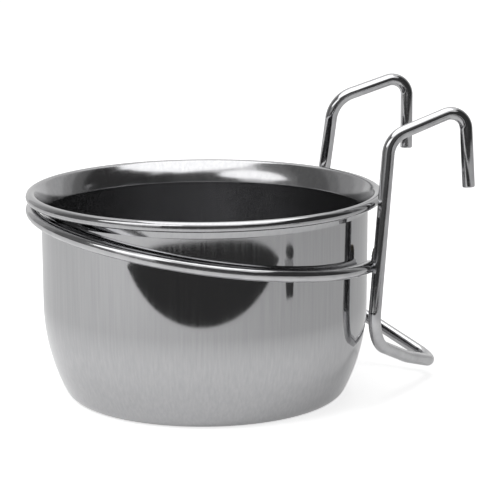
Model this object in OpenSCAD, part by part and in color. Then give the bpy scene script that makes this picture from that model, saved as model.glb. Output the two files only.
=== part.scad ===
// Seed cup for a bird cage: a pressed steel cup that drops into a wire ring,
// and a bent wire hanger whose two hooks go over the bars of the cage.
// The cup stands on its base, centred on the origin, and the hooks point to +Y.
// The ring lies loose round the cup, so it rests tipped: high on the far side
// from the hooks, where it is caught under the rim, and low beside the legs.

/* [Cup] */
// Outside diameter of the rolled rim
rim_d = 100; // [85:1:130]
// Height of the cup, from its base to the top of the rim
cup_h = 58.7; // [54:0.1:72]
// Thickness of the pressed sheet
sheet = 0.8; // [0.6:0.05:1]
// How far the rim stands out past the body on each side
flare_w = 4.2; // [3.8:0.1:5]
// Lean of the flare away from upright, in degrees
flare_lean = 24.5; // [18:0.5:32]
// Bend radius between the body and the flare
flare_r = 1; // [0.5:0.1:1.8]
// Outside diameter of the curl that makes the rim
curl_d = 2.8; // [2.5:0.1:3.2]
// How far the sheet turns round in the curl, in degrees
curl_turn = 280; // [200:5:285]
// How much the body narrows on each side before its rounded lower part
body_taper = 0.3; // [0:0.05:1]
// Height where the rounded lower part of the wall begins
belly_h = 26.6; // [20:0.1:32]
// Diameter of the flat base
base_d = 71.5; // [62:0.5:76]
// Radius between the base and the wall
base_r = 4.6; // [3:0.1:7]

/* [Support ring] */
// Diameter of the wire of the ring and the hanger
wire_d = 3.5; // [3:0.1:4]
// How far the rim reaches in over the ring wire on each side
ring_seat = 2.6; // [2.2:0.1:2.8]
// How far the wires are pressed into each other where they are welded
weld_sink = 0.4; // [0.2:0.05:0.6]
// How far the ring wire runs on past the middle of each leg
ring_overlap = 3; // [2:0.1:5]
// Width of the weld beads
bead_d = 2.4; // [1.8:0.1:3]
// Height of the weld beads, along the legs
bead_h = 7.5; // [5:0.1:10]

/* [Hanger] */
// Distance between the two hooks, middle to middle
hook_gap = 55; // [40:0.5:70]
// Distance between the legs at their lower ends, middle to middle
foot_w = 66; // [50:0.5:74]
// Height of the hooks' corners above the ring
hook_h = 36.8; // [25:0.1:50]
// How far the hooks reach out from the legs
hook_reach = 20.6; // [17:0.1:30]
// How much the hooks rise on the way out
hook_rise = 9.8; // [0:0.1:14]
// Length of the hooks' tips, from their corners
tip_len = 22.6; // [14:0.1:30]
// Lean of the tips away from the legs, in degrees
tip_lean = 11.2; // [0:0.1:15]
// Lean of the legs towards the cup, in degrees
leg_lean = 2.6; // [0:0.1:3]
// Depth of the lower corners of the legs under the ring
foot_h = 21.2; // [17:0.1:28]
// How far the foot reaches out from the legs
foot_reach = 31.1; // [20:0.1:40]
// Bend radius between a leg and its hook
hook_bend = 8.5; // [5:0.1:10]
// Bend radius between a hook and its tip
tip_bend = 4.3; // [3.5:0.1:7]
// Bend radius between a leg and the foot
foot_bend = 12; // [6:0.1:14]
// Bend radius at the point of the foot
apex_bend = 4.5; // [3.5:0.1:8]
// Bevel round the cut ends of the wire
end_bevel = 0.35; // [0.1:0.05:0.8]

/* [How the holder rests] */
// How far the ring tips down towards the hooks, in degrees
ring_tilt = 7.9; // [6:0.1:8.5]
// How far the ring tips down to one side, in degrees
ring_roll = 2.2; // [0:0.1:3]
// Gap left between the ring and the underside of the rim where they meet
rim_gap = 0.35; // [0.3:0.05:0.6]
// Gap between the foot and the surface that the cup stands on
foot_gap = 2; // [1:0.1:4]

/* [Hidden] */

// Steps round the cup, the ring and a wire, and along each arc of the cup's outline
cup_steps = 72;
ring_steps = 64;
wire_sides = 16;
corner_steps = 4;
belly_steps = 7;
flare_steps = 3;
curl_steps = 10;
// Degrees of a bend from one section of the wire to the next
bend_step = 9;

// The cup's outline
rim_r = rim_d / 2;
body_r = rim_r - flare_w;
curl_r = curl_d / 2;
curl_in = curl_r - sheet;
curl_c = [rim_r - curl_r, cup_h - curl_r];
curl_start = 180 - flare_lean;
flare_dir = [sin(flare_lean), cos(flare_lean)];
flare_out = [-cos(flare_lean), sin(flare_lean)];
// Where the lines of the body and the flare's outer face would cross
flare_top = curl_c + curl_in * flare_out;
flare_corner = flare_top - (flare_top.x - body_r) / flare_dir.x * flare_dir;
flare_z = flare_corner.y - flare_r * tan(flare_lean / 2);
flare_c = [body_r + flare_r, flare_z];
// The rounded lower wall touches the tapered body above and the base's corner below.
// The corner takes no more than its share of the step between the base and the body.
taper = atan(body_taper / (flare_z - belly_h));
belly_start = [body_r - body_taper, belly_h];
corner_share = 0.6;
corner_r = min(base_r, corner_share * (belly_start.x - base_d / 2));
corner_c = [base_d / 2, corner_r];
belly_in = belly_start - corner_c;
belly_r = (belly_in * belly_in - corner_r * corner_r)
    / (2 * (belly_in.x * cos(taper) - belly_in.y * sin(taper) - corner_r));
belly_c = belly_start - belly_r * [cos(taper), -sin(taper)];
belly_end = atan2(corner_c.y - belly_c.y, corner_c.x - belly_c.x);

// The ring and the legs, in the ring's own frame: its middle, with +Z up its axis
wire_r = wire_d / 2;
ring_r = rim_r - ring_seat + wire_r;
leg_r = ring_r + wire_d - weld_sink;
leg_splay = (foot_w - hook_gap) / 2 / (hook_h + foot_h);
leg_x = hook_gap / 2 + leg_splay * hook_h;
leg_y = sqrt(leg_r * leg_r - leg_x * leg_x);
ring_end = asin((leg_x - ring_overlap) / ring_r);

// The ring is pushed off centre by these shares of its play round the body
ring_play = flare_w - ring_seat;
shift_shares = [-0.7, 0.2];
ring_shift = shift_shares * ring_play;
ring_z = min([for (a = [0 : 5 : 355]) room_under_rim(a) - turned(ring_at(a)).z]);

// Corners of the hanger on one side, from the cut end of a hook to the foot
leg_top = leg_at(hook_h);
leg_foot = leg_at(-foot_h);
hook_end = leg_top + [0, hook_reach, hook_rise];
tip_end = hook_end + tip_len * [0, sin(tip_lean), -cos(tip_lean)];
apex_y = leg_foot.y + foot_reach;
apex_z = ((wire_r + foot_gap - ring_z) / cos(ring_roll) + apex_y * sin(ring_tilt)) / cos(ring_tilt);
half_hanger = [tip_end, hook_end, leg_top, leg_foot];
hanger_path = concat(
    half_hanger,
    [[0, apex_y, apex_z]],
    [for (i = [len(half_hanger) - 1 : -1 : 0]) flipped(half_hanger[i])]
);
half_bends = [0, tip_bend, hook_bend, foot_bend];
hanger_bends = concat(half_bends, [apex_bend], [for (i = [3 : -1 : 0]) half_bends[i]]);

// The beads lie in the corner between a leg's inner side and the end of the ring
bead_reach = wire_r + bead_d / 2 - weld_sink;
bead_angle = 198;
bead_below_share = 0.15;
bead_at = [
    leg_x + bead_reach * cos(bead_angle),
    leg_y + bead_reach * sin(bead_angle),
    -bead_below_share * bead_h
];

function ring_at(a) = ring_r * [sin(a), cos(a), 0];
function leg_at(z) = [leg_x - leg_splay * z, leg_y - tan(leg_lean) * z, z];
function flipped(p) = [-p.x, p.y, p.z];
function unit(v) = v / norm(v);

// A point of the ring's frame after the ring has been tipped
function tipped(p) = [
    p.x,
    p.y * cos(ring_tilt) + p.z * sin(ring_tilt),
    p.z * cos(ring_tilt) - p.y * sin(ring_tilt)
];
function rolled(p) = [
    p.x * cos(ring_roll) + p.z * sin(ring_roll),
    p.y,
    p.z * cos(ring_roll) - p.x * sin(ring_roll)
];
function turned(p) = rolled(tipped(p));

// Greatest height at which the ring wire still clears the rim, at one place round it
function room_under_rim(a) =
    let (p = turned(ring_at(a)))
    let (r = norm([p.x + ring_shift.x, p.y + ring_shift.y]))
    let (w = wire_r + rim_gap)
    let (across = r - curl_c.x)
    let (under_flare = curl_c.y + (curl_in - w + across * cos(flare_lean)) / sin(flare_lean))
    let (near_curl = curl_r + w)
    let (under_curl = abs(across) < near_curl
        ? curl_c.y - sqrt(near_curl * near_curl - across * across) : cup_h)
    let (in_bend = flare_r - w)
    let (from_bend = flare_c.x - r)
    let (under_bend = in_bend > from_bend && from_bend > in_bend * cos(flare_lean)
        ? flare_z + sqrt(in_bend * in_bend - from_bend * from_bend) : cup_h)
    min(under_flare, under_curl, under_bend);

function arc(c, r, a0, a1, n) =
    [for (i = [0 : n]) c + r * [cos(a0 + (a1 - a0) * i / n), sin(a0 + (a1 - a0) * i / n)]];

function cup_outline() = concat(
    [[0, 0]],
    arc(corner_c, corner_r, -90, belly_end, corner_steps),
    arc(belly_c, belly_r, belly_end, -taper, belly_steps),
    arc(flare_c, flare_r, 180, curl_start, flare_steps),
    arc(curl_c, curl_in, curl_start, curl_start - curl_turn, curl_steps),
    arc(curl_c, curl_r, curl_start - curl_turn, curl_start, curl_steps),
    arc(flare_c, flare_r + sheet, curl_start, 180, flare_steps),
    arc(belly_c, belly_r - sheet, -taper, belly_end, belly_steps),
    arc(corner_c, corner_r - sheet, belly_end, -90, corner_steps),
    [[0, sheet]]
);

// Sections along one round bend at corner b, between the runs from a and to c
function bend_sections(a, b, c, r) =
    let (u = unit(a - b))
    let (v = unit(c - b))
    let (turn = 180 - acos(u * v))
    let (mid = b + unit(u + v) * r / cos(turn / 2))
    let (x = unit(b + u * r * tan(turn / 2) - mid))
    let (y = -u)
    let (n = ceil(turn / bend_step))
    [for (i = [0 : n])
        let (t = turn * i / n)
        [mid + r * (x * cos(t) + y * sin(t)), y * cos(t) - x * sin(t), wire_r]];

// Sections at the bevelled cut end of a wire: its middle, its direction and its radius
function end_sections(p, way) = [[p, way, wire_r - end_bevel], [p + way * end_bevel, way, wire_r]];

// All sections of a wire bent along a row of corners
function wire_sections(pts, radii) =
    let (last = len(pts) - 1)
    let (start = end_sections(pts[0], unit(pts[1] - pts[0])))
    let (stop = end_sections(pts[last], unit(pts[last - 1] - pts[last])))
    concat(
        start,
        [for (i = [1 : last - 1]) each bend_sections(pts[i - 1], pts[i], pts[i + 1], radii[i])],
        [for (i = [1, 0]) [stop[i][0], -stop[i][1], stop[i][2]]]
    );

// The direction in which each section's first corner lies, carried along without twist
function carried(sections, side, i = 0) =
    let (way = sections[i][1])
    let (here = unit(side - (side * way) * way))
    i == len(sections) - 1 ? [here] : concat([here], carried(sections, here, i + 1));

// A wire bent along a row of corners, as one skin from cut end to cut end
module bent_wire(pts, radii) {
    sections = wire_sections(pts, radii);
    sides = carried(sections, [1, 0, 0]);
    rows = len(sections);
    n = wire_sides;
    skin = [
        for (i = [0 : rows - 1], k = [0 : n - 1])
            let (up = cross(sections[i][1], sides[i]))
            let (a = 360 * k / n)
            sections[i][0] + sections[i][2] * (sides[i] * cos(a) + up * sin(a))
    ];
    bands = [
        for (i = [0 : rows - 2], k = [0 : n - 1])
            let (here = i * n + k)
            let (beside = i * n + (k + 1) % n)
            each [[here, here + n, beside + n], [here, beside + n, beside]]
    ];
    ends = [[for (k = [0 : n - 1]) k], [for (k = [n - 1 : -1 : 0]) (rows - 1) * n + k]];
    polyhedron(skin, concat(bands, ends));
}

// Puts the holder where it rests round the cup
module at_rest() {
    translate([ring_shift.x, ring_shift.y, ring_z])
        rotate([-ring_tilt, ring_roll, 0])
            children();
}

module cup() {
    color("silver")
        rotate_extrude($fn = cup_steps)
            polygon(cup_outline());
}

module support_ring() {
    color("gainsboro")
        at_rest()
            rotate([0, 0, 90 + ring_end])
                rotate_extrude(angle = 360 - 2 * ring_end, $fn = ring_steps)
                    translate([ring_r, 0])
                        circle(d = wire_d, $fn = wire_sides);
}

module wire_hanger() {
    color("lightgray")
        at_rest()
            bent_wire(hanger_path, hanger_bends);
}

// A bead of weld metal that stands on its lower round end
module weld_bead() {
    straight = bead_h - bead_d;
    sphere(d = bead_d, $fn = wire_sides);
    cylinder(d = bead_d, h = straight, $fn = wire_sides);
    translate([0, 0, straight])
        sphere(d = bead_d, $fn = wire_sides);
}

module ring_welds() {
    color("darkgray")
        at_rest()
            for (side = [-1, 1])
                translate([side * bead_at.x, bead_at.y, bead_at.z])
                    weld_bead();
}

cup();
support_ring();
wire_hanger();
ring_welds();
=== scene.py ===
# %% [markdown]
# # A steel seed cup for a bird cage
#
# The object is a round cup of sheet steel that drops into a wire ring. The ring is welded to a
# bent wire hanger, whose two hooks go over a bar of the cage and whose V-shaped foot rests
# against the bars below.
#
# The solids are already made and packed, in metres, with the origin at the middle of the cup's
# flat base and +Y towards the hooks. Polished metal shows every facet in its reflections, so
# this script makes each piece again as a finer mesh, in the same place and size, and gives it
# its finish. Then it sets up a small studio round it.

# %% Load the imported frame
from math import atan, atan2, cos, pi, radians, sin, sqrt, tan

import bmesh
import bpy
from mathutils import Matrix, Vector


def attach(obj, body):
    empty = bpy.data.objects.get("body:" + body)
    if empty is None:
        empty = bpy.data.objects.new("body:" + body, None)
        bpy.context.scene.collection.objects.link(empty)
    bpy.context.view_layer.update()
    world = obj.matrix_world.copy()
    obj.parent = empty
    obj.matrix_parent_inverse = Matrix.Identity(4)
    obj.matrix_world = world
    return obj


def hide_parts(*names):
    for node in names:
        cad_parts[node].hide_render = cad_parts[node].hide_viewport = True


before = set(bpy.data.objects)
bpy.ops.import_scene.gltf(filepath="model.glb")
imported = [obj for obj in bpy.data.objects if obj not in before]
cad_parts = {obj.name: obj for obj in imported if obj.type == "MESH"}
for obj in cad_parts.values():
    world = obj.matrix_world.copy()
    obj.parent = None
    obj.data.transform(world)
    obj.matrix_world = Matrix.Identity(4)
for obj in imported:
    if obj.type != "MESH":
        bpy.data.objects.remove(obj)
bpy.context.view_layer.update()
MM = 0.001

# %% [markdown]
# ## Helpers for node trees
#
# A node tree is a small program drawn as boxes and wires. Two helpers keep the cells below
# short: one adds a node, sets its options and fills its sockets, the other turns a colour as a
# paint chart writes it into the linear numbers that a shader wants.


# %% Node and colour helpers
def out(node, name=None):
    """A node's output by name, or the first one that is switched on."""
    return next(s for s in node.outputs if s.enabled and (name is None or s.name == name))


def add(tree, kind, options=None, **sockets):
    """Add a node with its options and the values of its inputs.

    An input goes by its name, with _ for a space, or by its place: in0, in1. It takes a plain
    value, another node's output, or another node, which stands for that node's first output.
    """
    node = tree.nodes.new(kind)
    for key, value in (options or {}).items():
        setattr(node, key, value)
    for key, value in sockets.items():
        if key[:2] == "in" and key[2:].isdigit():
            socket = node.inputs[int(key[2:])]
        else:
            name = key.replace("_", " ")
            socket = next(s for s in node.inputs if s.enabled and s.name == name)
        if isinstance(value, bpy.types.Node):
            value = out(value)
        if isinstance(value, bpy.types.NodeSocket):
            tree.links.new(value, socket)
        else:
            socket.default_value = value
    return node


def colour(code):
    """A hex sRGB colour as linear red, green, blue and alpha."""
    shares = [int(code[i:i + 2], 16) / 255 for i in (1, 3, 5)]
    linear = [s / 12.92 if s <= 0.04045 else ((s + 0.055) / 1.055) ** 2.4 for s in shares]
    return (*linear, 1.0)


WHITE = colour("#FFFFFF")
print("mid grey is", [round(c, 3) for c in colour("#808080")])


# %% [markdown]
# ## Helpers for Geometry Nodes pieces
#
# A piece starts as a plain line of points in Python, and a Geometry Nodes tree gives it its
# body. The tree has named inputs for the sizes. A modifier's input is reached by its socket's
# identifier, and once it is set, the evaluated object is turned into a plain mesh. The modifier
# then goes, so that the piece is an ordinary mesh in its place.


# %% Tree and line helpers
def new_tree(name, *inputs):
    """A Geometry Nodes tree: a line goes in, a mesh comes out, inputs are (name, kind)."""
    tree = bpy.data.node_groups.new(name, "GeometryNodeTree")
    sockets = tree.interface
    sockets.new_socket(name="Line", in_out="INPUT", socket_type="NodeSocketGeometry")
    for label, kind in inputs:
        sockets.new_socket(name=label, in_out="INPUT", socket_type="NodeSocket" + kind)
    sockets.new_socket(name="Piece", in_out="OUTPUT", socket_type="NodeSocketGeometry")
    return tree, tree.nodes.new("NodeGroupInput"), tree.nodes.new("NodeGroupOutput")


def line_object(name, strands, **shares):
    """Strands of points joined by edges; each extra list becomes an attribute of the points."""
    points = [p for strand in strands for p in strand]
    edges, first = [], 0
    for strand in strands:
        edges += [(first + i, first + i + 1) for i in range(len(strand) - 1)]
        first += len(strand)
    mesh = bpy.data.meshes.new(name)
    mesh.from_pydata([tuple(p) for p in points], edges, [])
    for label, values in shares.items():
        attribute = mesh.attributes.new(label, "FLOAT", "POINT")
        attribute.data.foreach_set("value", list(values))
    obj = bpy.data.objects.new(name, mesh)
    bpy.context.scene.collection.objects.link(obj)
    return obj


# %% From a line and a tree to a finished mesh
SHARP_EDGE = radians(50)


def settle(obj, tree, values, sharp=SHARP_EDGE):
    """Run the tree on the object, keep the result as its plain mesh, drop the modifier."""
    modifier = obj.modifiers.new(tree.name, "NODES")
    modifier.node_group = tree
    for item in tree.interface.items_tree:
        if item.item_type == "SOCKET" and item.in_out == "INPUT" and item.name in values:
            modifier[item.identifier] = values[item.name]
    obj.update_tag()
    graph = bpy.context.evaluated_depsgraph_get()
    made = bpy.data.meshes.new_from_object(obj.evaluated_get(graph))
    obj.modifiers.remove(modifier)
    rough, obj.data = obj.data, made
    bpy.data.meshes.remove(rough)
    made.name = obj.name
    tidy = bmesh.new()
    tidy.from_mesh(made)
    bmesh.ops.recalc_face_normals(tidy, faces=tidy.faces)
    open_edges = sum(1 for edge in tidy.edges if not edge.is_manifold)
    volume = tidy.calc_volume(signed=True) / MM ** 3
    tidy.to_mesh(made)
    tidy.free()
    if sharp:
        made.set_sharp_from_angle(angle=sharp)
    print(obj.name, len(made.polygons), "faces,", open_edges, "open edges,",
          round(volume, 1), "mm3")


# %% [markdown]
# ## The cup's outline
#
# The real cup is pressed from one disc of steel sheet 0.8 mm thick. Its half section is a
# handful of arcs and straight runs: a flat base, a tight corner, a belly, a nearly straight
# body, a short flare behind a sharp crease, and a rim rolled outwards into an open curl. The
# flare bows outwards a little, like the mouth of a trumpet, which shows in its reflections: its
# lower half mirrors the room, its upper half the bright panels above. Stretched to the larger
# round, the sheet gets thinner there, so the crease lies a little higher outside than inside.
#
# The outline could be drawn as a free curve, but a press tool is turned from arcs, so arcs give
# the right reflections. Short support runs beside each arc keep the shading of the straight
# runs flat.

# %% Sizes of the cup
RIM_R = 50.0 * MM
CUP_H = 58.7 * MM
SHEET = 0.8 * MM
THINNED = 0.45 * MM  # the sheet in the flare
BODY_R = 45.75 * MM  # outside, just under the flare
BELLY_TOP = Vector((45.65 * MM, 26.6 * MM))  # radius and height
BASE_R = 35.75 * MM
CORNER_R = 4.6 * MM
CREASE_R = 1.0 * MM
OUTER_CREASE_R = 0.35 * MM
FLARE_LEAN = radians(25.0)
FLARE_BOW = 16.0 * MM
CURL_R = 1.4 * MM
CURL_TURN = radians(280)  # an open curl: a closed one would turn by 360 and more


# %% Arcs, and the runs between them
LONG_RUN = 2 * MM
SAME_POINT = 0.001 * MM
SUPPORT_SHARES = (0.004, 0.04, 0.5, 0.96, 0.996)  # of the run's length


def arc(centre, radius, start, end, steps):
    """Points of an arc, from one angle to another."""
    angles = [start + (end - start) * i / steps for i in range(steps + 1)]
    return [Vector((centre.x + radius * cos(a), centre.y + radius * sin(a))) for a in angles]


def angle_from(centre, point):
    """The angle at which a point is seen from a centre."""
    return atan2((point - centre).y, (point - centre).x)


def joined(*runs):
    """Join runs of points; a long gap gets support points, most of them close to its ends."""
    line = list(runs[0])
    for run in runs[1:]:
        gap = run[0] - line[-1]
        if gap.length > LONG_RUN:
            line += [line[-1] + gap * share for share in SUPPORT_SHARES]
        elif gap.length < SAME_POINT:
            run = run[1:]
        line += run
    return line


# %% The curl, and the bowed flare that runs into it
curl_c = Vector((RIM_R - CURL_R, CUP_H - CURL_R))
curl_in = CURL_R - SHEET
curl_start = pi - FLARE_LEAN
curl_end = curl_start - CURL_TURN

# A straight flare at this lean would meet the body here. The crease is set by it.
flare_top = curl_c + curl_in * Vector((cos(curl_start), sin(curl_start)))
crease_z = flare_top.y - (flare_top.x - BODY_R) * cos(FLARE_LEAN) / sin(FLARE_LEAN)
crease_c = Vector((BODY_R + CREASE_R, crease_z - CREASE_R * tan(FLARE_LEAN / 2)))

# The bowed flare touches the crease's arc and the curl's, so two distances give its centre.
to_curl = curl_c - crease_c
reach_low, reach_high = FLARE_BOW - CREASE_R, FLARE_BOW - curl_in
along_share = (reach_low ** 2 - reach_high ** 2 + to_curl.length_squared) / (
    2 * to_curl.length_squared)
aside = sqrt(reach_low ** 2 - along_share ** 2 * to_curl.length_squared)
across = Vector((to_curl.y, -to_curl.x)).normalized()
flare_c = crease_c + to_curl * along_share + aside * across
flare_low, flare_high = angle_from(flare_c, crease_c), angle_from(flare_c, curl_c)

# The outer face of the thinned flare meets the body at a tighter crease, a little higher.
thin_bow = FLARE_BOW + SHEET - THINNED
outer_x = BODY_R + OUTER_CREASE_R
outer_rise = sqrt((thin_bow - OUTER_CREASE_R) ** 2 - (outer_x - flare_c.x) ** 2)
outer_c = Vector((outer_x, flare_c.y + outer_rise))
outer_low = angle_from(flare_c, outer_c)

leans = [round(180 - angle / pi * 180, 1) for angle in (flare_low, outer_low, flare_high)]
print("flare leans", leans, "degrees; crease inside at", round(crease_c.y / MM, 2),
      "mm, outside at", round(outer_c.y / MM, 2), "mm")

# %% The belly, between the body and the corner of the base
taper = atan((BODY_R - BELLY_TOP.x) / (crease_c.y - BELLY_TOP.y))
corner_c = Vector((BASE_R, CORNER_R))
to_corner = corner_c - BELLY_TOP
inward = Vector((-cos(taper), sin(taper)))
belly_r = (to_corner.length_squared - CORNER_R ** 2) / (2 * (to_corner.dot(inward) - CORNER_R))
belly_c = BELLY_TOP + belly_r * inward
belly_end = angle_from(belly_c, corner_c)
print("belly radius", round(belly_r / MM, 2), "mm")

# %% The half section, up the outside and down the inside
CORNER_STEPS = 18
BELLY_STEPS = 24
CREASE_STEPS = 6
OUTER_CREASE_STEPS = 10
FLARE_STEPS = 10
CURL_STEPS = 40
INNER_CURL_STEPS = 22

section = joined(
    [Vector((0, 0))],
    arc(corner_c, CORNER_R, -pi / 2, belly_end, CORNER_STEPS),
    arc(belly_c, belly_r, belly_end, -taper, BELLY_STEPS),
    arc(outer_c, OUTER_CREASE_R, pi, outer_low, OUTER_CREASE_STEPS),
    arc(flare_c, thin_bow, outer_low, flare_high, FLARE_STEPS),
    arc(curl_c, CURL_R - THINNED, flare_high, curl_end, INNER_CURL_STEPS),
    arc(curl_c, CURL_R, curl_end, flare_high, CURL_STEPS),
    arc(flare_c, FLARE_BOW + SHEET, flare_high, flare_low, FLARE_STEPS),
    arc(crease_c, CREASE_R + SHEET, flare_low, pi, CREASE_STEPS),
    arc(belly_c, belly_r - SHEET, -taper, belly_end, BELLY_STEPS),
    arc(corner_c, CORNER_R - SHEET, belly_end, -pi / 2, CORNER_STEPS),
    [Vector((0, SHEET))],
)
print("cup section:", len(section), "points")


# %% [markdown]
# ## Turning the outline into the cup
#
# The Spin tool or a Screw modifier would turn the outline too. A Geometry Nodes tree does it
# here by the rule itself: a flat grid has one row for each point of the outline and one column
# for each step of the turn, and every grid point takes its place from the outline, turned by
# its column's angle. The seam and the two poles are then merged.


# %% Tree that turns an outline round the upright axis
def turning_tree():
    """Grid rows follow the outline, grid columns go round."""
    tree, given, result = new_tree("turned_sheet", ("Steps", "Int"), ("Seam", "Float"),
                                   ("Finish", "Material"))
    line, steps = given.outputs["Line"], given.outputs["Steps"]
    size = add(tree, "GeometryNodeAttributeDomainSize", Geometry=line)
    rows = out(size, "Point Count")
    columns = add(tree, "ShaderNodeMath", {"operation": "ADD"}, in0=steps, in1=1.0)
    grid = add(tree, "GeometryNodeMeshGrid", Vertices_X=columns, Vertices_Y=rows)
    index = add(tree, "GeometryNodeInputIndex")
    row = add(tree, "ShaderNodeMath", {"operation": "MODULO"}, in0=index, in1=rows)
    column = add(tree, "ShaderNodeMath", {"operation": "DIVIDE"}, in0=index, in1=rows)
    column = add(tree, "ShaderNodeMath", {"operation": "FLOOR"}, in0=column)
    turn = add(tree, "ShaderNodeMath", {"operation": "DIVIDE"}, in0=column, in1=steps)
    turn = add(tree, "ShaderNodeMath", {"operation": "MULTIPLY"}, in0=turn, in1=2 * pi)
    place = add(tree, "GeometryNodeInputPosition")
    point = add(tree, "GeometryNodeSampleIndex", {"data_type": "FLOAT_VECTOR", "clamp": True},
                Geometry=line, Value=place, Index=row)
    turned = add(tree, "ShaderNodeVectorRotate", {"rotation_type": "Z_AXIS"}, Vector=point,
                 Angle=turn)
    shaped = add(tree, "GeometryNodeSetPosition", Geometry=out(grid, "Mesh"), Position=turned)
    merged = add(tree, "GeometryNodeMergeByDistance", Geometry=shaped,
                 Distance=given.outputs["Seam"])
    smooth = add(tree, "GeometryNodeSetShadeSmooth", Geometry=merged)
    real = add(tree, "GeometryNodeRealizeInstances", Geometry=smooth)
    finished = add(tree, "GeometryNodeSetMaterial", Geometry=real,
                   Material=given.outputs["Finish"])
    tree.links.new(out(finished), result.inputs[0])
    return tree


turned_sheet = turning_tree()
print(turned_sheet.name, len(turned_sheet.nodes), "nodes")

# %% [markdown]
# ## Polished stainless sheet
#
# Stainless sheet is a bare metal, so its look is all reflection. The press and the polishing
# wheel leave a faint upright grain: streaks far longer than they are wide, which vary the gloss
# a little and lift the surface by less than a hair. One noise pattern, squeezed along Z, gives
# both. It is drawn coarser than the real grain, which is too fine for the picture to show.
#
# A broad, slow noise stands for the slight waviness of thin sheet and for the handling marks on
# it. The wheel reaches the outside best, so the inside stays more satin, most of all below the
# crease. Inside is where the surface faces the cup's middle.

# %% Sizes of the sheet's grain and waves, and where its satin ends
NOISE_LOW, NOISE_HIGH = 0.3, 0.7  # nearly all values of a detailed noise lie between these
SOFT_LOW, SOFT_HIGH = 0.35, 0.65  # and those of a softer one between these
GRAIN_WIDTH = MM / 1.5
GRAIN_SQUEEZE = 0.03  # along Z, so a streak is some 33 times as long as it is wide
GRAIN_LIFT = 0.0006 * MM
GRAIN_ROUGH_LOW, GRAIN_ROUGH_HIGH = 0.035, 0.055
WAVE_WIDTH = MM / 0.06
WAVE_LIFT = 0.01 * MM
WAVE_ROUGH = 0.01
SATIN_DEEP, SATIN_FLARE = 0.16, 0.1  # roughness added inside, below and above the crease
SATIN_FROM, SATIN_TO = 51.5 * MM, 53.5 * MM
print("grain", round(GRAIN_WIDTH / MM, 2), "mm wide, waves", round(WAVE_WIDTH / MM, 1), "mm")


# %% Where every bare metal here starts and ends
def bare_metal(name):
    """A new metal material: its tree, its shader and the place on the object."""
    material = bpy.data.materials.new(name)
    material.use_nodes = True
    tree = material.node_tree
    shader = next(n for n in tree.nodes if n.type == "BSDF_PRINCIPLED")
    shader.inputs["Metallic"].default_value = 1.0
    return material, tree, shader, out(add(tree, "ShaderNodeTexCoord"), "Object")


def polish(tree, shader, tone, gloss, lift):
    """Wire colour, roughness and relief to the shader."""
    for name, node in (("Base Color", tone), ("Roughness", gloss), ("Normal", lift)):
        tree.links.new(out(node), shader.inputs[name])


# %% Material of the cup
def stainless_sheet():
    """Polished sheet with an upright grain, more satin inside."""
    material, tree, shader, place = bare_metal("stainless_sheet_polished")
    squeezed = add(tree, "ShaderNodeMapping", Vector=place, Scale=(1.0, 1.0, GRAIN_SQUEEZE))
    grain = add(tree, "ShaderNodeTexNoise", Vector=squeezed, Scale=1 / GRAIN_WIDTH, Detail=3.0,
                Roughness=0.55)
    broad = add(tree, "ShaderNodeTexNoise", Vector=place, Scale=1 / WAVE_WIDTH, Detail=2.0,
                Roughness=0.5)
    light = add(tree, "ShaderNodeMapRange", Value=grain, From_Min=NOISE_LOW,
                From_Max=NOISE_HIGH)
    # A Mix node keeps its share in socket 0 and, for colours, the two of them in 6 and 7.
    tone = add(tree, "ShaderNodeMix", {"data_type": "RGBA"}, in0=light, in6=colour("#AEAEB0"),
               in7=colour("#B7B7B8"))
    fine_gloss = add(tree, "ShaderNodeMapRange", Value=grain, From_Min=NOISE_LOW,
                     From_Max=NOISE_HIGH, To_Min=GRAIN_ROUGH_LOW, To_Max=GRAIN_ROUGH_HIGH)
    broad_gloss = add(tree, "ShaderNodeMapRange", Value=broad, From_Min=SOFT_LOW,
                      From_Max=SOFT_HIGH, To_Min=0.0, To_Max=WAVE_ROUGH)
    gloss = add(tree, "ShaderNodeMath", {"operation": "ADD"}, in0=fine_gloss, in1=broad_gloss)
    from_middle = add(tree, "ShaderNodeVectorMath", {"operation": "SUBTRACT"}, in0=place,
                      in1=(0.0, 0.0, CUP_H / 2))
    normal = out(add(tree, "ShaderNodeNewGeometry"), "Normal")
    facing = add(tree, "ShaderNodeVectorMath", {"operation": "DOT_PRODUCT"}, in0=from_middle,
                 in1=normal)
    inside = add(tree, "ShaderNodeMath", {"operation": "LESS_THAN"}, in0=facing, in1=0.0)
    height = out(add(tree, "ShaderNodeSeparateXYZ", Vector=place), "Z")
    satin = add(tree, "ShaderNodeMapRange", Value=height, From_Min=SATIN_FROM,
                From_Max=SATIN_TO, To_Min=SATIN_DEEP, To_Max=SATIN_FLARE)
    satin = add(tree, "ShaderNodeMath", {"operation": "MULTIPLY"}, in0=satin, in1=inside)
    gloss = add(tree, "ShaderNodeMath", {"operation": "ADD"}, in0=gloss, in1=satin)
    lift = add(tree, "ShaderNodeBump", Height=grain, Distance=GRAIN_LIFT, Strength=0.5)
    wave = add(tree, "ShaderNodeBump", Height=broad, Distance=WAVE_LIFT, Strength=0.5,
               Normal=lift)
    polish(tree, shader, tone, gloss, wave)
    return material


sheet_finish = stainless_sheet()
print(sheet_finish.name, len(sheet_finish.node_tree.nodes), "nodes")

# %% The cup itself
CUP_STEPS = 288

cup = line_object("pressed_cup", [[(p.x, 0.0, p.y) for p in section]])
settle(cup, turned_sheet, {"Steps": CUP_STEPS, "Seam": SAME_POINT, "Finish": sheet_finish})
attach(cup, "cup")
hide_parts("cup")


# %% [markdown]
# ## Bending wire
#
# Both wires are cut from round stainless wire 3.5 mm thick and bent cold. A wire bender works
# from a list of corners and bend radii, and so does this tree: a line of corners is rounded by
# Fillet Curve, each corner by its own radius, and a circle is swept along it. Two more numbers
# travel with the wire for the finish: how far along it a point is, and where on the wire's
# section it lies. The cut ends are eased by a small rounded edge.


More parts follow.
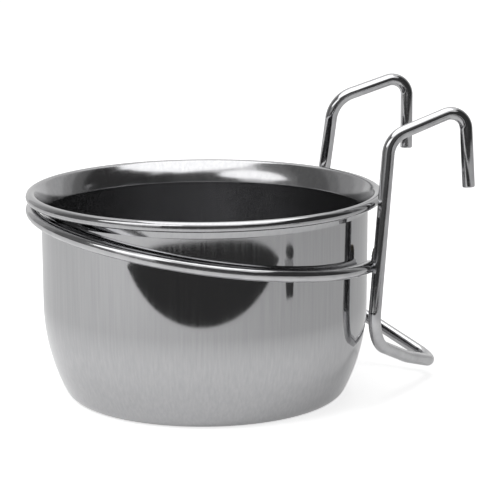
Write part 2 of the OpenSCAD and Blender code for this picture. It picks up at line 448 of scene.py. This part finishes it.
# %% Tree that sweeps a wire along its corners
def wire_tree():
    """Corners with a radius each become a bent round wire."""
    tree, given, result = new_tree("bent_wire", ("Thickness", "Float"), ("Sides", "Int"),
                                   ("Bend Steps", "Int"), ("Finish", "Material"))
    path = add(tree, "GeometryNodeMeshToCurve", Mesh=given.outputs["Line"])
    bend = add(tree, "GeometryNodeInputNamedAttribute", {"data_type": "FLOAT"}, Name="bend")
    girth = add(tree, "GeometryNodeInputNamedAttribute", {"data_type": "FLOAT"}, Name="girth")
    bent = add(tree, "GeometryNodeFilletCurve", {"mode": "POLY"}, Curve=path, Radius=bend,
               Count=given.outputs["Bend Steps"])
    length = out(add(tree, "GeometryNodeSplineParameter"), "Length")
    marked = add(tree, "GeometryNodeStoreNamedAttribute",
                 {"data_type": "FLOAT", "domain": "POINT"},
                 Geometry=bent, Name="along", Value=length)
    radius = add(tree, "ShaderNodeMath", {"operation": "MULTIPLY"},
                 in0=given.outputs["Thickness"], in1=0.5)
    circle = add(tree, "GeometryNodeCurvePrimitiveCircle", Resolution=given.outputs["Sides"],
                 Radius=radius)
    place = add(tree, "GeometryNodeInputPosition")
    around = add(tree, "GeometryNodeStoreNamedAttribute",
                 {"data_type": "FLOAT_VECTOR", "domain": "POINT"},
                 Geometry=circle, Name="section", Value=place)
    swept = add(tree, "GeometryNodeCurveToMesh", Curve=marked, Profile_Curve=around,
                Scale=girth, Fill_Caps=True)
    smooth = add(tree, "GeometryNodeSetShadeSmooth", Geometry=swept)
    real = add(tree, "GeometryNodeRealizeInstances", Geometry=smooth)
    finished = add(tree, "GeometryNodeSetMaterial", Geometry=real,
                   Material=given.outputs["Finish"])
    tree.links.new(out(finished), result.inputs[0])
    return tree


bent_wire = wire_tree()
print(bent_wire.name, len(bent_wire.nodes), "nodes")

# %% [markdown]
# ## Bright drawn wire
#
# Wire is pulled through a die, which leaves fine lines along its length, and then polished
# bright. The lines follow the wire round its bends, so they read the two numbers stored by the
# tree and not the space around it. A broader noise stands for wear, where bars and hands have
# rubbed the polish.

# %% Sizes of the wire's lines and wear
LINE_WIDTH = MM / 2.4
LINE_SQUEEZE = 0.04  # along the wire, so a line is some 25 times as long as it is wide
LINE_LIFT = 0.002 * MM
LINE_ROUGH_LOW, LINE_ROUGH_HIGH = 0.05, 0.1
WEAR_SIZE = 4.0 * MM
WEAR_ROUGH = 0.05
print("die lines", round(LINE_WIDTH / MM, 2), "mm wide")


# %% Material of the wires
def drawn_wire():
    """Bright wire with faint die lines along it."""
    material, tree, shader, place = bare_metal("stainless_wire_bright")
    on_section = add(tree, "ShaderNodeAttribute", {"attribute_name": "section"})
    along = add(tree, "ShaderNodeAttribute", {"attribute_name": "along"})
    squeezed = add(tree, "ShaderNodeMath", {"operation": "MULTIPLY"}, in0=out(along, "Fac"),
                   in1=LINE_SQUEEZE)
    parts = add(tree, "ShaderNodeSeparateXYZ", Vector=out(on_section, "Vector"))
    wire_place = add(tree, "ShaderNodeCombineXYZ", X=out(parts, "X"), Y=out(parts, "Y"),
                     Z=squeezed)
    lines = add(tree, "ShaderNodeTexNoise", Vector=wire_place, Scale=1 / LINE_WIDTH,
                Detail=3.0, Roughness=0.6)
    wear = add(tree, "ShaderNodeTexNoise", Vector=place, Scale=1 / WEAR_SIZE, Detail=3.0,
               Roughness=0.55)
    light = add(tree, "ShaderNodeMapRange", Value=wear, From_Min=SOFT_LOW, From_Max=SOFT_HIGH)
    tone = add(tree, "ShaderNodeMix", {"data_type": "RGBA"}, in0=light, in6=colour("#B8B8BA"),
               in7=colour("#C4C4C5"))
    line_gloss = add(tree, "ShaderNodeMapRange", Value=lines, From_Min=NOISE_LOW,
                     From_Max=NOISE_HIGH, To_Min=LINE_ROUGH_LOW, To_Max=LINE_ROUGH_HIGH)
    wear_gloss = add(tree, "ShaderNodeMapRange", Value=wear, From_Min=SOFT_LOW,
                     From_Max=SOFT_HIGH, To_Min=0.0, To_Max=WEAR_ROUGH)
    gloss = add(tree, "ShaderNodeMath", {"operation": "ADD"}, in0=line_gloss, in1=wear_gloss)
    lift = add(tree, "ShaderNodeBump", Height=lines, Distance=LINE_LIFT, Strength=0.5)
    polish(tree, shader, tone, gloss, lift)
    return material


wire_finish = drawn_wire()
print(wire_finish.name, len(wire_finish.node_tree.nodes), "nodes")

# %% [markdown]
# ## The hanger
#
# One wire makes the whole hanger: tip, hook, leg, V-shaped foot, leg, hook, tip. Its corners
# lie where the straight runs cross, and each bend has its own radius, tight at the hooks and
# wide at the foot. It is bent by hand, so its two sides aren't quite alike: the ends of both
# tips lean the same way, and the near wire of the foot is softly bowed, which takes one corner
# more, with a very wide bend.

# %% Corners and bends of the hanger
WIRE = 3.5 * MM
HANGER = [  # corner and bend radius, in mm
    ((29.37, 67.66, 61.10), 0),  # tip of the near hook
    ((27.81, 66.80, 83.40), 4.4),  # near hook, above its tip
    ((27.55, 45.39, 75.40), 7.2),  # top of the near leg
    ((30.75, 40.03, 19.20), 11.5),  # foot of the near leg
    ((12.12, 56.09, 9.44), 50),  # soft bow
    ((-2.76, 69.71, 3.42), 6.5),  # point of the V
    ((-35.13, 40.30, 22.70), 12),  # foot of the far leg
    ((-27.41, 45.40, 78.36), 8.5),  # top of the far leg
    ((-27.15, 67.85, 85.40), 4.5),  # far hook, above its tip
    ((-25.60, 67.40, 63.37), 0),  # tip of the far hook
]
hanger_corners = [Vector(corner) * MM for corner, _ in HANGER]
hanger_bends = [bend * MM for _, bend in HANGER]
print("hanger:", len(HANGER) - 2, "bends")

# %% Rounded edges of a cut wire
END_EASE = 0.35 * MM  # radius of the rounded edge
EASE_STEPS = 3


def eased_ends(points, bends):
    """Add short steps with a smaller girth at both ends, so that the cut edge is round."""
    runs = [(0.0, 1 - 2 * END_EASE / WIRE)]
    for i in range(1, EASE_STEPS + 1):
        angle = pi / 2 * i / EASE_STEPS
        runs.append((END_EASE * (1 - cos(angle)), 1 - 2 * END_EASE / WIRE * (1 - sin(angle))))
    first = (points[1] - points[0]).normalized()
    last = (points[-2] - points[-1]).normalized()
    start = [points[0] + first * run for run, _ in runs]
    end = [points[-1] + last * run for run, _ in reversed(runs)]
    girths = [share for _, share in runs]
    line = start + list(points[1:-1]) + end
    radii = [0.0] * len(start) + list(bends[1:-1]) + [0.0] * len(end)
    return line, radii, girths + [1.0] * (len(points) - 2) + girths[::-1]


# %% The hanger itself
WIRE_SIDES = 40
BEND_STEPS = 22

line, radii, girths = eased_ends(hanger_corners, hanger_bends)
hanger = line_object("bent_hanger", [line], bend=radii, girth=girths)
settle(hanger, bent_wire, {"Thickness": WIRE, "Sides": WIRE_SIDES, "Bend Steps": BEND_STEPS,
                           "Finish": wire_finish})
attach(hanger, "holder")
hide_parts("wire_hanger")

# %% [markdown]
# ## The support ring
#
# The ring is the same wire rolled to a circle and left open between the legs. It hangs loosely
# round the cup, so it lies a little tipped: high on the side away from the hooks. Its points
# are made flat on its own circle and then tipped, rolled and lifted as the solid is.

# %% Size of the ring, and where it lies
RING_R = 49.15 * MM
RING_OPEN = radians(34.71)  # from the hooks' side to each end
RING_TILT = radians(7.9)
RING_ROLL = radians(2.2)
RING_PLACE = Vector((-1.12, 0.50, 46.4304)) * MM
RING_POINTS = 180


def laid(point):
    """A point of the flat ring, tipped, rolled and lifted to where the ring lies."""
    tipped = Vector((point.x, point.y * cos(RING_TILT) + point.z * sin(RING_TILT),
                     point.z * cos(RING_TILT) - point.y * sin(RING_TILT)))
    rolled = Vector((tipped.x * cos(RING_ROLL) + tipped.z * sin(RING_ROLL), tipped.y,
                     tipped.z * cos(RING_ROLL) - tipped.x * sin(RING_ROLL)))
    return rolled + RING_PLACE


# %% The ring itself
sweep = 2 * pi - 2 * RING_OPEN
turns = [pi / 2 + RING_OPEN + sweep * i / RING_POINTS for i in range(RING_POINTS + 1)]
flat_ring = [Vector((RING_R * cos(a), RING_R * sin(a), 0.0)) for a in turns]
line, radii, girths = eased_ends([laid(p) for p in flat_ring], [0.0] * len(flat_ring))
ring = line_object("support_loop", [line], bend=radii, girth=girths)
settle(ring, bent_wire, {"Thickness": WIRE, "Sides": WIRE_SIDES, "Bend Steps": 1,
                         "Finish": wire_finish})
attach(ring, "holder")
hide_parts("support_ring")

# %% [markdown]
# ## Weld beads
#
# Each leg is joined to the ring by a short upright bead of weld metal laid in the corner
# between them. A bead is a row of small solidified pools, so its width swells and shrinks a
# little along its length. It could be sculpted, but a rule does it: the tree lays a row of
# points along each bead, rounds the ends, adds the ripples and a little unevenness, and sweeps
# a circle.

# %% Sizes of the beads, and where they lie on the flat ring
BEAD_D = 2.2 * MM
BEAD_H = 6.7 * MM
BEAD_BELOW = 0.16 * BEAD_H
BEAD_ANGLE = radians(198)  # seen from the leg
BEAD_POINTS = 48
BEAD_SIDES = 28
BEAD_MERGE = 0.002 * MM
RIPPLES = 7.0
RIPPLE = 0.035
UNEVENNESS = 0.25 * MM
LUMP_SIZE = MM / 0.9
END_POWER = 4.0  # the higher, the later the bead starts to narrow
END_ROUND = 0.4  # the lower, the blunter its ends
WELD_SINK = 0.4 * MM  # how deep a bead sits in the leg
LEG_PLACE = Vector((30.9897, 42.0678, 0.0)) * MM  # where the near leg crosses the flat ring
LEG_SPLAY = 5.5 / 58  # how far a leg leans inwards for each mm up
print("ripples", round(BEAD_H / RIPPLES / MM, 2), "mm apart")


# %% Tree that lays a rippled bead
def bead_tree():
    """Straight lines become rippled beads with rounded ends."""
    tree, given, result = new_tree("weld_bead", ("Width", "Float"), ("Points", "Int"),
                                   ("Ripples", "Float"), ("Ripple", "Float"),
                                   ("Unevenness", "Float"), ("Finish", "Material"))
    path = add(tree, "GeometryNodeMeshToCurve", Mesh=given.outputs["Line"])
    rows = add(tree, "GeometryNodeResampleCurve", Curve=path, Count=given.outputs["Points"])
    along = out(add(tree, "GeometryNodeSplineParameter"), "Factor")
    centred = add(tree, "ShaderNodeMath", {"operation": "MULTIPLY_ADD"}, in0=along, in1=2.0,
                  in2=-1.0)
    edge = add(tree, "ShaderNodeMath", {"operation": "POWER"}, in0=centred, in1=END_POWER)
    rest = add(tree, "ShaderNodeMath", {"operation": "SUBTRACT", "use_clamp": True}, in0=1.0,
               in1=edge)
    rounded = add(tree, "ShaderNodeMath", {"operation": "POWER"}, in0=rest, in1=END_ROUND)
    phase = add(tree, "ShaderNodeMath", {"operation": "MULTIPLY"}, in0=along,
                in1=given.outputs["Ripples"])
    phase = add(tree, "ShaderNodeMath", {"operation": "MULTIPLY"}, in0=phase, in1=2 * pi)
    wave = add(tree, "ShaderNodeMath", {"operation": "SINE"}, in0=phase)
    swell = add(tree, "ShaderNodeMath", {"operation": "MULTIPLY_ADD"}, in0=wave,
                in1=given.outputs["Ripple"], in2=1.0)
    girth = add(tree, "ShaderNodeMath", {"operation": "MULTIPLY"}, in0=rounded, in1=swell)
    radius = add(tree, "ShaderNodeMath", {"operation": "MULTIPLY"},
                 in0=given.outputs["Width"], in1=0.5)
    circle = add(tree, "GeometryNodeCurvePrimitiveCircle", Resolution=BEAD_SIDES,
                 Radius=radius)
    swept = add(tree, "GeometryNodeCurveToMesh", Curve=rows, Profile_Curve=circle,
                Scale=girth, Fill_Caps=True)
    welded = add(tree, "GeometryNodeMergeByDistance", Geometry=swept, Distance=BEAD_MERGE)
    place = add(tree, "GeometryNodeInputPosition")
    noise = add(tree, "ShaderNodeTexNoise", Vector=place, Scale=1 / LUMP_SIZE, Detail=2.0)
    spread = add(tree, "ShaderNodeMath", {"operation": "SUBTRACT"}, in0=noise, in1=0.5)
    amount = add(tree, "ShaderNodeMath", {"operation": "MULTIPLY"}, in0=spread,
                 in1=given.outputs["Unevenness"])
    normal = add(tree, "GeometryNodeInputNormal")
    push = add(tree, "ShaderNodeVectorMath", {"operation": "SCALE"}, Vector=normal,
               Scale=amount)
    uneven = add(tree, "GeometryNodeSetPosition", Geometry=welded, Offset=push)
    smooth = add(tree, "GeometryNodeSetShadeSmooth", Geometry=uneven)
    real = add(tree, "GeometryNodeRealizeInstances", Geometry=smooth)
    finished = add(tree, "GeometryNodeSetMaterial", Geometry=real,
                   Material=given.outputs["Finish"])
    tree.links.new(out(finished), result.inputs[0])
    return tree


weld_bead = bead_tree()
print(weld_bead.name, len(weld_bead.nodes), "nodes")

# %% [markdown]
# ## Weld metal
#
# Weld metal that has only been brushed clean is duller and rougher than the wire, a little
# darker, and keeps a trace of straw and blue from the heat. A medium noise mixes the tints, a
# fine one roughens the surface.

# %% Sizes of the weld's tints and grit
TINT_SIZE = 2.0 * MM
STRAW_FROM, STRAW_TO = 0.4, 0.7  # the tint noise turns from steel to straw
BLUE_FROM, BLUE_TO, BLUE_SHARE = 0.3, 0.5, 0.5  # and from half blue back to none
GRIT_SIZE = 0.25 * MM
GRIT_LIFT = 0.03 * MM
GRIT_ROUGH_LOW, GRIT_ROUGH_HIGH = 0.26, 0.44
print("grit", GRIT_SIZE / MM, "mm")


# %% Material of the beads
def weld_metal():
    """Dull weld metal with a trace of heat tint."""
    material, tree, shader, place = bare_metal("weld_metal_brushed")
    tint = add(tree, "ShaderNodeTexNoise", Vector=place, Scale=1 / TINT_SIZE, Detail=2.0,
               Roughness=0.5)
    grit = add(tree, "ShaderNodeTexNoise", Vector=place, Scale=1 / GRIT_SIZE, Detail=4.0,
               Roughness=0.65)
    warm = add(tree, "ShaderNodeMapRange", Value=tint, From_Min=STRAW_FROM, From_Max=STRAW_TO)
    straw = add(tree, "ShaderNodeMix", {"data_type": "RGBA"}, in0=warm, in6=colour("#A3A19E"),
                in7=colour("#A39B8C"))
    cool = add(tree, "ShaderNodeMapRange", Value=tint, From_Min=BLUE_FROM, From_Max=BLUE_TO,
               To_Min=BLUE_SHARE, To_Max=0.0)
    tone = add(tree, "ShaderNodeMix", {"data_type": "RGBA"}, in0=cool, in6=straw,
               in7=colour("#8F9299"))
    gloss = add(tree, "ShaderNodeMapRange", Value=grit, From_Min=NOISE_LOW,
                From_Max=NOISE_HIGH, To_Min=GRIT_ROUGH_LOW, To_Max=GRIT_ROUGH_HIGH)
    lift = add(tree, "ShaderNodeBump", Height=grit, Distance=GRIT_LIFT, Strength=0.6)
    polish(tree, shader, tone, gloss, lift)
    return material


weld_finish = weld_metal()
print(weld_finish.name, len(weld_finish.node_tree.nodes), "nodes")

# %% The two beads
bead_reach = WIRE / 2 + BEAD_D / 2 - WELD_SINK
bead_foot = LEG_PLACE + bead_reach * Vector((cos(BEAD_ANGLE), sin(BEAD_ANGLE), 0.0))
splay = Vector((-LEG_SPLAY, 0.0, 1.0))
bead_ends = (bead_foot - splay * BEAD_BELOW, bead_foot + splay * (BEAD_H - BEAD_BELOW))
bead_lines = [[laid(Vector((side * p.x, p.y, p.z))) for p in bead_ends] for side in (1, -1)]
beads = line_object("weld_beads", bead_lines)
settle(beads, weld_bead, {"Width": BEAD_D, "Points": BEAD_POINTS, "Ripples": RIPPLES,
                          "Ripple": RIPPLE, "Unevenness": UNEVENNESS,
                          "Finish": weld_finish}, sharp=None)
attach(beads, "holder")
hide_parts("ring_welds")

# %% [markdown]
# ## Camera
#
# The camera's place and lens come from matching the rim's and the base's ellipses and the
# hanger's corners to the photo. It looks at the cup from the side, with the hooks at its right,
# about 12 degrees down.

# %% Camera
CAMERA_PLACE = Vector((604.6, -137.4, 172.36)) * MM
CAMERA_HEADING = radians(166.025)
CAMERA_PITCH = 0.20877  # down, in radians
CAMERA_ROLL = 0.00232
CAMERA_LENS = 161.9  # mm, as is the sensor's width
CAMERA_SENSOR = 36.0

camera_data = bpy.data.cameras.new("photo_camera")
camera_data.lens = CAMERA_LENS
camera_data.sensor_width = CAMERA_SENSOR
camera = bpy.data.objects.new("photo_camera", camera_data)
ahead = Vector((cos(CAMERA_HEADING), sin(CAMERA_HEADING), 0.0))
right = Vector((cos(CAMERA_HEADING - pi / 2), sin(CAMERA_HEADING - pi / 2), 0.0))
forward = ahead * cos(CAMERA_PITCH) - Vector((0.0, 0.0, sin(CAMERA_PITCH)))
down = forward.cross(right)
level = cos(CAMERA_ROLL) * right + sin(CAMERA_ROLL) * down
drop = cos(CAMERA_ROLL) * down - sin(CAMERA_ROLL) * right
turned = Matrix((level, -drop, -forward)).transposed().to_4x4()
camera.matrix_world = Matrix.Translation(CAMERA_PLACE) @ turned
bpy.context.scene.collection.objects.link(camera)
bpy.context.scene.camera = camera

bpy.context.scene.view_settings.view_transform = "Standard"
print("camera at", [round(v, 3) for v in camera.location])

# %% [markdown]
# ## Floor and world
#
# The cup stands on a plain pale floor. The floor takes light like paper, and the camera sees it
# a little brighter, so it reads as white while the shadow under the cup stays. Mirrors see it
# brighter still, with painted light that only they see: more at the left, a painted pool of the
# lamp's light, and close to the cup, where it paints out the cup's shadow. The world is white to
# the camera and in reflections, and a soft plain light for everything else.


# %% Places, cards and who sees them
def studio(right_mm, ahead_mm, up_mm):
    """A place in the studio as the camera sees it, in mm from the cup's middle."""
    return (right * right_mm + ahead * ahead_mm + Vector((0.0, 0.0, up_mm))) * MM


def flat_card(name, corners, material):
    """A flat stage card through the given corners."""
    mesh = bpy.data.meshes.new(name)
    mesh.from_pydata([tuple(corner) for corner in corners], [], [tuple(range(len(corners)))])
    mesh.materials.append(material)
    card = bpy.data.objects.new(name, mesh)
    bpy.context.scene.collection.objects.link(card)
    return card


def seen_share(tree, camera_share, mirror_share):
    """One number for the camera's rays, one for mirrored or refracted rays, 0 for others."""
    path = add(tree, "ShaderNodeLightPath")
    mirror = add(tree, "ShaderNodeMath", {"operation": "MAXIMUM"},
                 in0=out(path, "Is Glossy Ray"), in1=out(path, "Is Transmission Ray"))
    mirror = add(tree, "ShaderNodeMath", {"operation": "MULTIPLY"}, in0=mirror,
                 in1=mirror_share)
    eye = add(tree, "ShaderNodeMath", {"operation": "MULTIPLY"},
              in0=out(path, "Is Camera Ray"), in1=camera_share)
    return add(tree, "ShaderNodeMath", {"operation": "MAXIMUM"}, in0=mirror, in1=eye)


# %% Floor
FLOOR_HALF = 3000  # mm
FLOOR_LEVEL = -0.05  # a hair under the cup's base
FLOOR_SEEN = 0.7  # what the camera sees on top of the paper's own light
# painted light: a glow that only mirrors see, at the left and close to the cup
LEFT_PAINTED_LIGHT = 0.15  # what mirrors see on top of it, at the left and close to the cup
LEFT_PAINTED_LIGHT_FROM, LEFT_PAINTED_LIGHT_TO = -150 * MM, 100 * MM  # along the camera's right
CUP_PAINTED_LIGHT = 0.28
CUP_PAINTED_LIGHT_FROM, CUP_PAINTED_LIGHT_TO = 60 * MM, 140 * MM  # away from the cup's middle


def pale_floor():
    """Paper-like floor that reads as white, with painted light that only mirrors see."""
    material = bpy.data.materials.new("pale_floor")
    material.use_nodes = True
    tree = material.node_tree
    tree.nodes.clear()
    paper = add(tree, "ShaderNodeBsdfDiffuse", Color=colour("#E6E6E6"))
    place = out(add(tree, "ShaderNodeTexCoord"), "Object")
    # painted light for mirrors: brighter at the left, a painted pool of the lamp's light, and
    # close to the cup, where it hides the cup's shadow
    to_right = add(tree, "ShaderNodeVectorMath", {"operation": "DOT_PRODUCT"}, in0=place,
                   in1=right)
    painted_light_left = add(tree, "ShaderNodeMapRange", Value=to_right, From_Min=LEFT_PAINTED_LIGHT_FROM,
                    From_Max=LEFT_PAINTED_LIGHT_TO, To_Min=LEFT_PAINTED_LIGHT, To_Max=0.0)
    reach = add(tree, "ShaderNodeVectorMath", {"operation": "LENGTH"}, in0=place)
    painted_light_cup = add(tree, "ShaderNodeMapRange", Value=reach, From_Min=CUP_PAINTED_LIGHT_FROM,
                   From_Max=CUP_PAINTED_LIGHT_TO, To_Min=CUP_PAINTED_LIGHT, To_Max=0.0)
    mirrored = add(tree, "ShaderNodeMath", {"operation": "ADD"}, in0=painted_light_left, in1=painted_light_cup)
    glow = add(tree, "ShaderNodeEmission", Color=WHITE,
               Strength=seen_share(tree, FLOOR_SEEN, out(mirrored)))
    both = add(tree, "ShaderNodeAddShader", in0=paper, in1=glow)
    add(tree, "ShaderNodeOutputMaterial", Surface=both)
    return material


floor_corners = [(x * FLOOR_HALF, y * FLOOR_HALF) for x, y in ((-1, -1), (1, -1), (1, 1), (-1, 1))]
flat_card("floor", [studio(x, y, FLOOR_LEVEL) for x, y in floor_corners], pale_floor())
print("floor", 2 * FLOOR_HALF * MM, "m wide")

# %% World
WORLD_LIGHT = 0.4
WORLD_SEEN = 1.0

world = bpy.data.worlds.new("studio")
bpy.context.scene.world = world
world.use_nodes = True
sky = world.node_tree
sky.nodes.clear()
plain = add(sky, "ShaderNodeBackground", Color=WHITE, Strength=WORLD_LIGHT)
white = add(sky, "ShaderNodeBackground", Color=WHITE, Strength=WORLD_SEEN)
chosen = add(sky, "ShaderNodeMixShader", in0=seen_share(sky, 1.0, 1.0), in1=plain, in2=white)
add(sky, "ShaderNodeOutputWorld", Surface=chosen)
print("world", len(sky.nodes), "nodes")

# %% [markdown]
# ## Lamps
#
# One big soft lamp high at the camera's left gives the floor its light and a soft shadow, and a
# second one high above evens it out. Their level is plain, so that white paper on the floor is
# just white. The left lamp stays out of the reflections, where a card takes its place.

# %% Soft lamps
LAMPS = [  # name, place and aim (right, ahead, up), width in mm, watts, seen in mirrors
    ("left_lamp", (-350, -300, 600), (0, 0, 30), 450, 2.4, False),
    ("top_lamp", (0, 100, 1200), (0, 0, 0), 700, 3.0, True),
]

for name, place_mm, aim_mm, width_mm, watts, mirrored in LAMPS:
    data = bpy.data.lights.new(name, "AREA")
    data.shape = "SQUARE"
    data.size = width_mm * MM
    data.energy = watts
    lamp = bpy.data.objects.new(name, data)
    lamp.location = studio(*place_mm)
    aim = studio(*aim_mm) - studio(*place_mm)
    lamp.rotation_euler = aim.to_track_quat("-Z", "Y").to_euler()
    lamp.visible_camera = False
    lamp.visible_glossy = mirrored
    bpy.context.scene.collection.objects.link(lamp)
print(len(LAMPS), "lamps")

# %% [markdown]
# ## What the metal mirrors
#
# Bare bright metal has hardly any look of its own: it shows the studio. A photographer places
# white panels and black flags round such an object, and these cards do the same. They show only
# in reflections and neither light the floor nor shade it: a panel low above the cup, a second
# one at the front left, a dark gap at the front, the dark floor and wall beyond it, darker
# walls at the right and the left, and a plain grey back. Each is one flat polygon with an even
# glow, because an even card mirrors as cleanly as the real one.


# %% Cards that only reflections see
def mirrored_card(name, corners, level):
    """A card with an even brightness, hidden from the camera and from soft light."""
    material = bpy.data.materials.new(name)
    material.use_nodes = True
    tree = material.node_tree
    tree.nodes.clear()
    glow = add(tree, "ShaderNodeEmission", Color=WHITE, Strength=level)
    add(tree, "ShaderNodeOutputMaterial", Surface=glow)
    card = flat_card(name, corners, material)
    card.visible_camera = False
    card.visible_diffuse = False
    card.visible_shadow = False


# %% The dark gap at the front, and a small dark shape beside it
GAP_MIDDLE = (4, -161)  # right, ahead
GAP_HALF_WIDTH, GAP_DEPTH = 187, 130
GAP_SKEW = 4  # its right end lies this much nearer to the camera, its left end further
GAP_STEPS = 48
HEAD_MIDDLE = (218, -143)
HEAD_HALF_WIDTH, HEAD_HALF_DEPTH = 13, 14
HEAD_STEPS = 24
GAP_UP, SHAPE_UP, HEAD_UP = 0.3, 0.4, 0.5  # each just above the one before
DARK_LEVEL, SHAPE_LEVEL, SHAFT_LEVEL = 0.05, 0.06, 0.35

half_turn = [pi * i / GAP_STEPS for i in range(GAP_STEPS + 1)]
full_turn = [2 * pi * i / HEAD_STEPS for i in range(HEAD_STEPS)]
gap_corners = [studio(GAP_MIDDLE[0] + GAP_HALF_WIDTH * cos(a),
                      GAP_MIDDLE[1] - GAP_SKEW * cos(a) - GAP_DEPTH * sin(a), GAP_UP)
               for a in half_turn]
head_corners = [studio(HEAD_MIDDLE[0] + HEAD_HALF_WIDTH * cos(a),
                       HEAD_MIDDLE[1] + HEAD_HALF_DEPTH * sin(a), HEAD_UP)
                for a in full_turn]
shaft = [(198, -151), (212, -127), (186, -113), (174, -133)]
shaft_end = [(174, -133), (186, -113), (160, -103), (150, -115)]
mirrored_card("front_gap", gap_corners, DARK_LEVEL)
mirrored_card("small_shaft", [studio(x, y, SHAPE_UP) for x, y in shaft], SHAFT_LEVEL)
mirrored_card("small_end", [studio(x, y, SHAPE_UP) for x, y in shaft_end], SHAPE_LEVEL)
mirrored_card("small_head", head_corners, SHAPE_LEVEL)
print("front gap", 2 * GAP_HALF_WIDTH, "mm wide")

# %% The two bright panels above, and the far floor in front
PANEL_UP = 197
TOP_LEVEL, LEFT_LEVEL = 2.2, 2.1
FAR = 2500
FAR_FLOOR_FROM, FAR_FLOOR_UP = -340, 0.2

top_outline = [
    (119, 2), (112, -19), (118, -54), (90, -91), (58, -130), (11, -116), (-28, -102),
    (-57, -67), (-62, -41), (-50, 60), (0, 87), (60, 60), (101, 15),
]
left_outline = [
    (-35, -176), (-41, -125), (-60, -104), (-78, -93), (-95, -79), (-113, -77), (-134, -71),
    (-167, -71), (-220, -83), (-264, -100), (-280, -144), (-260, -191), (-211, -208),
    (-164, -215), (-132, -240), (-87, -231), (-54, -215),
]
far_outline = [(-FAR, FAR_FLOOR_FROM), (FAR, FAR_FLOOR_FROM), (FAR, -FAR), (-FAR, -FAR)]
mirrored_card("top_panel", [studio(x, y, PANEL_UP) for x, y in top_outline], TOP_LEVEL)
mirrored_card("left_panel", [studio(x, y, PANEL_UP) for x, y in left_outline], LEFT_LEVEL)
mirrored_card("front_floor", [studio(x, y, FAR_FLOOR_UP) for x, y in far_outline], DARK_LEVEL)
print("panels", PANEL_UP, "mm up")

# %% The walls of the room
WALLS = [  # name, from and to (right, ahead), bottom and top in mm, brightness
    ("front_flag", (-450, -900), (450, -900), 0, 780, 0.1),
    ("front_right_flag", (450, -900), (900, -900), 0, 900, 0.06),
    ("right_flag_front", (900, -900), (900, -400), 0, 1050, 0.05),
    ("right_flag", (900, -400), (900, 240), 0, 1500, 0.05),
    ("right_flag_back", (900, 240), (900, 450), 0, 1300, 0.2),
    ("right_step", (900, 450), (900, 700), 0, 1500, 0.4),
    ("front_left_room", (-900, -900), (-450, -900), 80, 450, 0.5),
    ("front_left_top", (-900, -900), (-450, -900), 850, 2500, 1.3),
    ("skirting", (-900, -900), (-450, -900), 0, 80, 0.05),
    ("left_room", (-900, -900), (-900, -650), 0, 450, 0.4),
    ("left_top", (-900, -900), (-900, -650), 850, 2500, 0.45),
    ("left_flag_front", (-900, -650), (-900, -250), 0, 2500, 0.26),
    ("left_flag", (-900, -250), (-900, 250), 0, 2500, 0.17),
    ("left_step", (-900, 250), (-900, 480), 0, 2000, 0.28),
    ("back_left", (-900, 480), (-900, 900), 0, 1500, 0.42),
    ("back_left_end", (-900, 900), (-900, 1500), 0, 1500, 0.55),
    ("back", (-900, 1500), (900, 1500), 0, 1500, 0.78),
    ("back_right", (900, 700), (900, 1500), 0, 1500, 0.6),
]

for name, start, end, low, high, level in WALLS:
    mirrored_card(name, [studio(*start, low), studio(*end, low), studio(*end, high),
                         studio(*start, high)], level)
print(len(WALLS), "walls")
